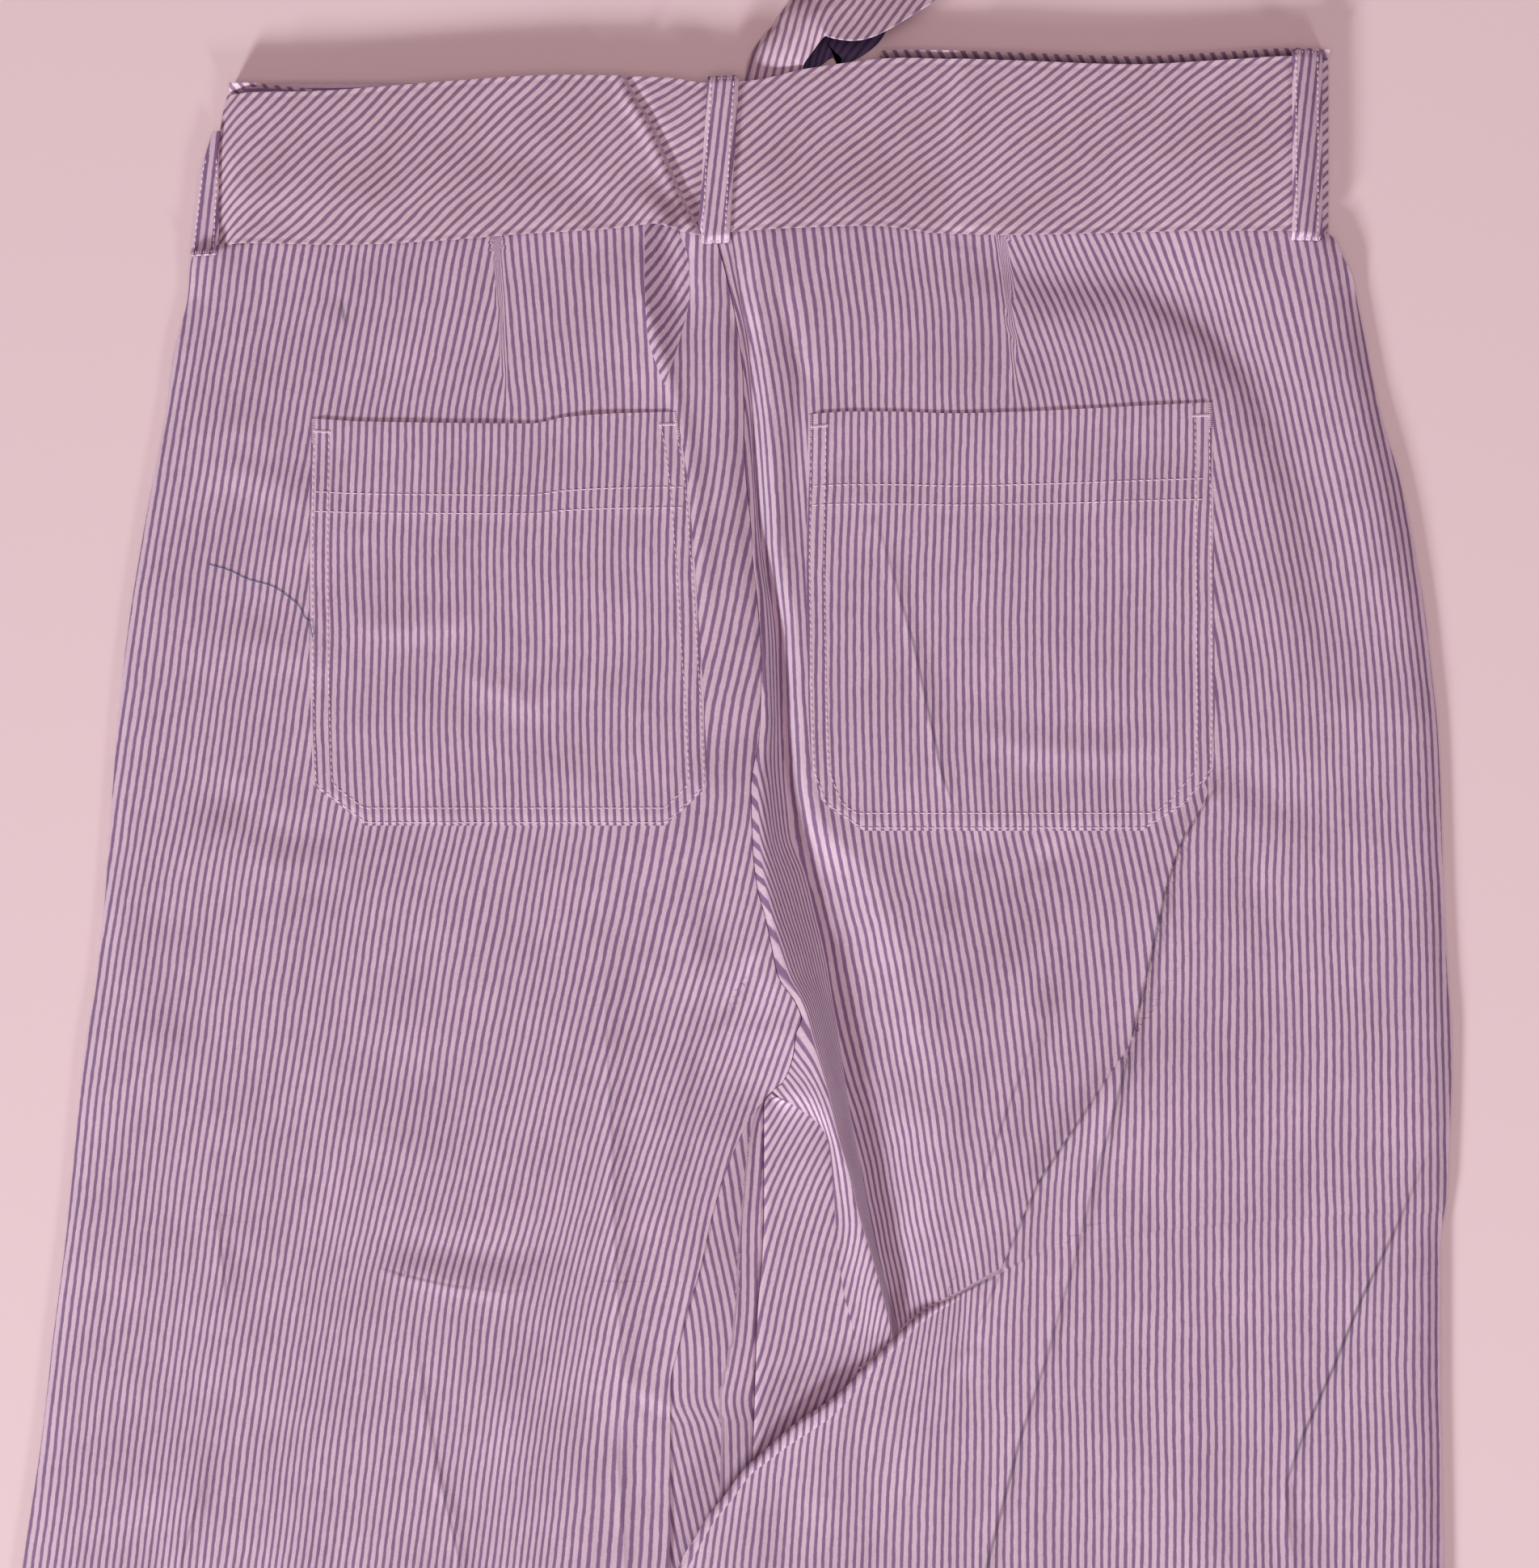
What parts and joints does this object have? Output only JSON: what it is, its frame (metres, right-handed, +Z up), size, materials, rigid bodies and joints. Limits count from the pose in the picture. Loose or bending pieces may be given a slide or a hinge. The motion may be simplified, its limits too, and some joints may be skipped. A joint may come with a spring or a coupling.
{
  "type": "wide-leg trousers",
  "caption": "Striped wide-leg cotton trousers laid flat back side up, with patch pockets, belt loops and a bias-cut sash belt.",
  "frame": {"origin": "middle of the bounding box at the surface the garment lies on", "axes": "+X to the right of the back as seen, +Y from the hems to the waist, +Z up from the surface"},
  "size_m": [0.5808, 1.1202, 0.0136],
  "materials": {
    "trouser_cloth": "matt woven cotton, narrow stripes",
    "belt_cloth": "matt woven cotton, narrow stripes",
    "pocket_cloth": "matt woven cotton, narrow stripes",
    "loop_cloth": "matt woven cotton, narrow stripes"
  },
  "bodies": {
    "root": {"back_left": "trouser_cloth", "back_right": "trouser_cloth", "front_left": "trouser_cloth", "front_right": "trouser_cloth", "waistband_back": "trouser_cloth", "waistband_front": "trouser_cloth", "pocket_left": "pocket_cloth", "pocket_right": "pocket_cloth", "belt_back": "belt_cloth", "belt_front_left": "belt_cloth", "belt_front_right": "belt_cloth", "belt_tail": "belt_cloth", "loop_centre": "loop_cloth", "loop_right": "loop_cloth", "loop_left": "loop_cloth"}
  },
  "joints": []
}
